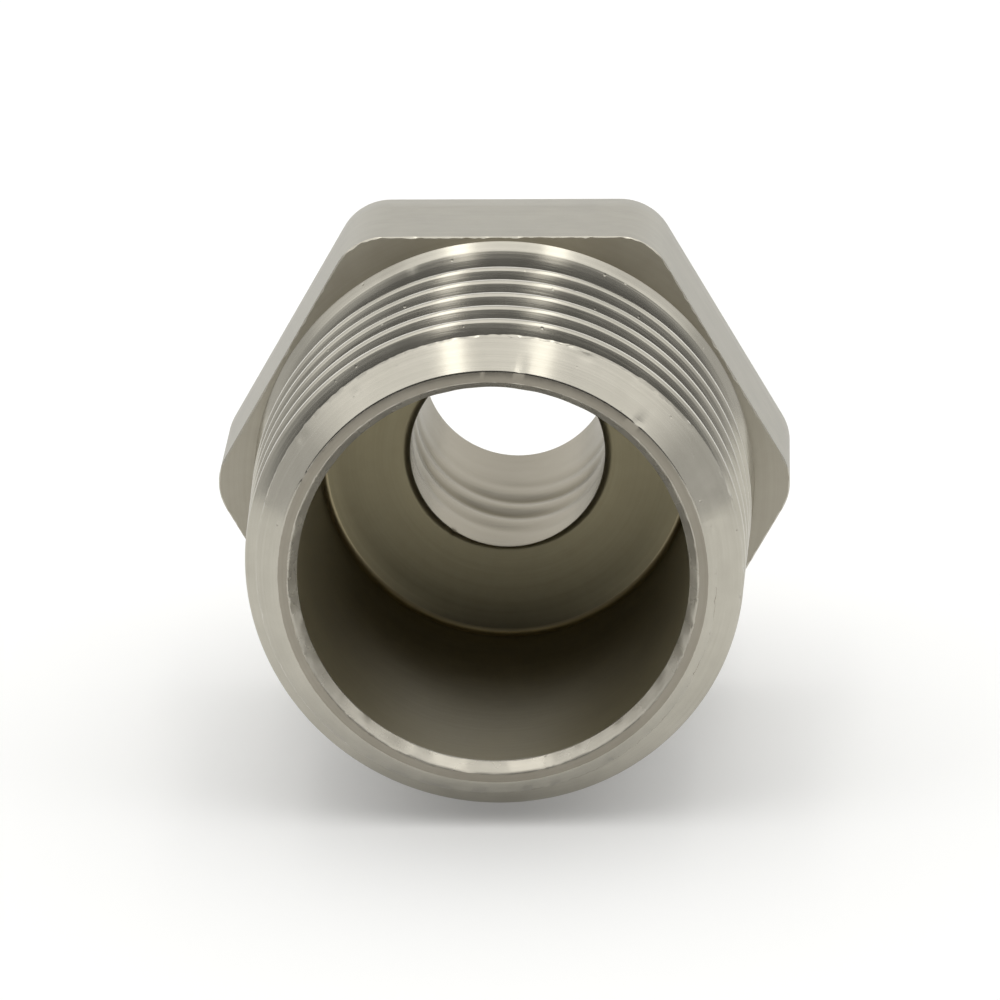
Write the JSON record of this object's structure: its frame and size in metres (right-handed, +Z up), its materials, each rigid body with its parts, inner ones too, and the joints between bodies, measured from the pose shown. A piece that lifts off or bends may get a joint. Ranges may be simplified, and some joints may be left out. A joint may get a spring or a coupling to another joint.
{
  "type": "reducing nipple",
  "caption": "Hexagon reducing nipple in bright steel, with a large and a small tapered male thread and a stepped bore right through.",
  "frame": {"origin": "on the plane the part lies on, under the middle of its length and of its width", "axes": "+Y along the axis from the large end to the small end, +X to the right as seen from the large end, +Z up from the flat it lies on"},
  "size_m": [0.025, 0.0322, 0.0222],
  "materials": {
    "turned_steel": "bright turned steel on the ends and the bore, with satin flats on the hexagon"
  },
  "bodies": {
    "root": {"nipple_body": "turned_steel"}
  },
  "joints": []
}
